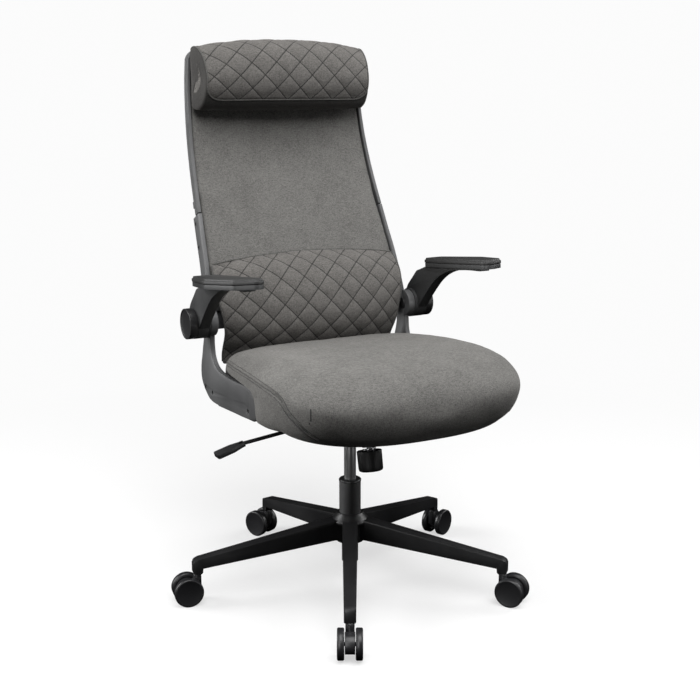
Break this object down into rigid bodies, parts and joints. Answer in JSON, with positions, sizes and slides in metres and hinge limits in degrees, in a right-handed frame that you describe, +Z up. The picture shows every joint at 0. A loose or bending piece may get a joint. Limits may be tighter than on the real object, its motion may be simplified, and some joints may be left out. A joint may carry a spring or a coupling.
{
  "type": "office chair",
  "caption": "High-back office chair with quilted lumbar pad and headrest cushion, flip-up arms, tilt mechanism, gas column and five-star base on twin-wheel castors",
  "frame": {"origin": "On the floor, on the vertical axis of the gas column", "axes": "+Z up; the chair faces -Y; -X is the sitter's right-hand side"},
  "size_m": [0.7543, 0.7571, 1.173],
  "materials": {
    "base_nylon": "satin moulded",
    "frame_plastic": "fine textured",
    "black_plastic": "fine textured",
    "castor_plastic": "soft gloss",
    "black_steel": "satin powder coat",
    "zinc_steel": "satin zinc",
    "rod_chrome": "polished",
    "seat_fabric": "heather woven",
    "board_wood": "raw plywood",
    "pad_foam": "soft moulded"
  },
  "bodies": {
    "base": {"star_base": "base_nylon", "castor_stems": "zinc_steel", "stand_tube": "black_steel", "guide_bush": "black_plastic", "thrust_bearing": "zinc_steel"},
    "castor_1": {"castor_hood_1": "castor_plastic"},
    "roll_1a": {"wheel_1a": "castor_plastic"},
    "roll_1b": {"wheel_1b": "castor_plastic"},
    "castor_2": {"castor_hood_2": "castor_plastic"},
    "roll_2a": {"wheel_2a": "castor_plastic"},
    "roll_2b": {"wheel_2b": "castor_plastic"},
    "castor_3": {"castor_hood_3": "castor_plastic"},
    "roll_3a": {"wheel_3a": "castor_plastic"},
    "roll_3b": {"wheel_3b": "castor_plastic"},
    "castor_4": {"castor_hood_4": "castor_plastic"},
    "roll_4a": {"wheel_4a": "castor_plastic"},
    "roll_4b": {"wheel_4b": "castor_plastic"},
    "castor_5": {"castor_hood_5": "castor_plastic"},
    "roll_5a": {"wheel_5a": "castor_plastic"},
    "roll_5b": {"wheel_5b": "castor_plastic"},
    "rod": {"piston_rod": "rod_chrome", "rod_clip": "zinc_steel"},
    "mechanism": {"gas_cylinder": "black_steel", "mechanism_housing": "black_steel", "tilt_pin": "zinc_steel"},
    "valve": {"valve_button": "zinc_steel"},
    "lever_block": {"lever_cam": "black_plastic"},
    "lever": {"lever_rod": "black_steel", "lever_paddle": "black_plastic"},
    "seat": {"tilt_plate": "black_steel", "plate_bolts": "zinc_steel", "tension_stud": "zinc_steel", "seat_board": "board_wood", "seat_cushion": "seat_fabric", "right_bracket": "frame_plastic", "left_bracket": "frame_plastic", "bracket_bolts": "zinc_steel", "side_screws": "black_plastic", "back_frame": "frame_plastic", "back_shell": "frame_plastic", "back_yoke": "frame_plastic", "back_pad": "seat_fabric", "lumbar_pad": "seat_fabric", "headrest_pad": "seat_fabric", "arm_pivots": "black_plastic"},
    "tension_nut": {"spring_washer": "zinc_steel", "tension_spring": "zinc_steel"},
    "tension_grip": {"tension_knob": "black_plastic"},
    "right_arm": {"right_arm_stalk": "frame_plastic", "right_arm_plate": "frame_plastic", "right_arm_pad": "pad_foam", "right_arm_cap": "frame_plastic", "right_arm_screws": "zinc_steel"},
    "left_arm": {"left_arm_stalk": "frame_plastic", "left_arm_plate": "frame_plastic", "left_arm_pad": "pad_foam", "left_arm_cap": "frame_plastic", "left_arm_screws": "zinc_steel"}
  },
  "joints": [
    {"name": "castor_swivel_1", "type": "hinge", "parent": "base", "child": "castor_1", "pos_m": [-0.16009, -0.30108, 0.05], "axis": [0, 0, 1], "continuous": true},
    {"name": "wheel_roll_1a", "type": "hinge", "parent": "castor_1", "child": "roll_1a", "pos_m": [-0.16995, -0.31963, 0.031], "axis": [0.8829, -0.4695, 0], "continuous": true},
    {"name": "wheel_roll_1b", "type": "hinge", "parent": "castor_1", "child": "roll_1b", "pos_m": [-0.16995, -0.31963, 0.031], "axis": [0.8829, -0.4695, 0], "continuous": true},
    {"name": "castor_swivel_2", "type": "hinge", "parent": "base", "child": "castor_2", "pos_m": [0.23688, -0.2453, 0.05], "axis": [0, 0, 1], "continuous": true},
    {"name": "wheel_roll_2a", "type": "hinge", "parent": "castor_2", "child": "roll_2a", "pos_m": [0.24892, -0.2625, 0.031], "axis": [0.8192, 0.5736, 0], "continuous": true},
    {"name": "wheel_roll_2b", "type": "hinge", "parent": "castor_2", "child": "roll_2b", "pos_m": [0.24892, -0.2625, 0.031], "axis": [0.8192, 0.5736, 0], "continuous": true},
    {"name": "castor_swivel_3", "type": "hinge", "parent": "base", "child": "castor_3", "pos_m": [0.30649, 0.14949, 0.05], "axis": [0, 0, 1], "continuous": true},
    {"name": "wheel_roll_3a", "type": "hinge", "parent": "castor_3", "child": "roll_3a", "pos_m": [0.32536, 0.15869, 0.031], "axis": [-0.4384, 0.8988, 0], "continuous": true},
    {"name": "wheel_roll_3b", "type": "hinge", "parent": "castor_3", "child": "roll_3b", "pos_m": [0.32536, 0.15869, 0.031], "axis": [-0.4384, 0.8988, 0], "continuous": true},
    {"name": "castor_swivel_4", "type": "hinge", "parent": "base", "child": "castor_4", "pos_m": [-0.04746, 0.33768, 0.05], "axis": [0, 0, 1], "continuous": true},
    {"name": "wheel_roll_4a", "type": "hinge", "parent": "castor_4", "child": "roll_4a", "pos_m": [-0.05633, 0.35671, 0.031], "axis": [-0.9063, -0.4226, 0], "continuous": true},
    {"name": "wheel_roll_4b", "type": "hinge", "parent": "castor_4", "child": "roll_4b", "pos_m": [-0.05633, 0.35671, 0.031], "axis": [-0.9063, -0.4226, 0], "continuous": true},
    {"name": "castor_swivel_5", "type": "hinge", "parent": "base", "child": "castor_5", "pos_m": [-0.33582, 0.05921, 0.05], "axis": [0, 0, 1], "continuous": true},
    {"name": "wheel_roll_5a", "type": "hinge", "parent": "castor_5", "child": "roll_5a", "pos_m": [-0.3565, 0.06286, 0.031], "axis": [-0.1736, -0.9848, 0], "continuous": true},
    {"name": "wheel_roll_5b", "type": "hinge", "parent": "castor_5", "child": "roll_5b", "pos_m": [-0.3565, 0.06286, 0.031], "axis": [-0.1736, -0.9848, 0], "continuous": true},
    {"name": "seat_swivel", "type": "hinge", "parent": "base", "child": "rod", "pos_m": [0, 0, 0.066], "axis": [0, 0, 1], "continuous": true},
    {"name": "seat_height", "type": "slide", "parent": "rod", "child": "mechanism", "axis": [0, 0, 1], "range_m": [-0.06, 0.04]},
    {"name": "valve_press", "type": "slide", "parent": "mechanism", "child": "valve", "axis": [0, 0, -1], "range_m": [0, 0.0056], "stiffness_N_per_m": 200},
    {"name": "lever_lift", "type": "hinge", "parent": "mechanism", "child": "lever_block", "pos_m": [-0.035, 0, 0.378], "axis": [0, 1, 0], "range_deg": [0, 8], "stiffness_Nm_per_rad": 4, "springref_deg": -5.73},
    {"name": "lever_pull", "type": "slide", "parent": "lever_block", "child": "lever", "axis": [-1, 0, 0], "range_m": [0, 0.01]},
    {"name": "tilt", "type": "hinge", "parent": "mechanism", "child": "seat", "pos_m": [0, -0.03, 0.385], "axis": [-1, 0, 0], "range_deg": [0, 12], "stiffness_Nm_per_rad": 90, "springref_deg": -20.05, "deforming": ["tension_spring"]},
    {"name": "tension_turn", "type": "hinge", "parent": "tension_nut", "child": "tension_grip", "pos_m": [0, -0.0945, 0.285], "axis": [0, 0.2079, 0.9781], "range_deg": [-720, 720]},
    {"name": "tension_travel", "type": "slide", "parent": "seat", "child": "tension_nut", "axis": [0, 0.2079, 0.9781], "range_m": [-0.0045, 0.0045], "deforming": ["tension_spring"]},
    {"name": "right_arm_flip", "type": "hinge", "parent": "seat", "child": "right_arm", "pos_m": [0, 0.182, 0.578], "axis": [-1, 0, 0], "range_deg": [0, 90]},
    {"name": "left_arm_flip", "type": "hinge", "parent": "seat", "child": "left_arm", "pos_m": [0, 0.182, 0.578], "axis": [-1, 0, 0], "range_deg": [0, 90]}
  ],
  "couplings": [
    {"joint": "tension_travel", "follows": "tension_turn", "m_per_rad": 0.00023873},
    {"joint": "valve_press", "follows": "lever_lift", "m_per_rad": 0.039}
  ]
}
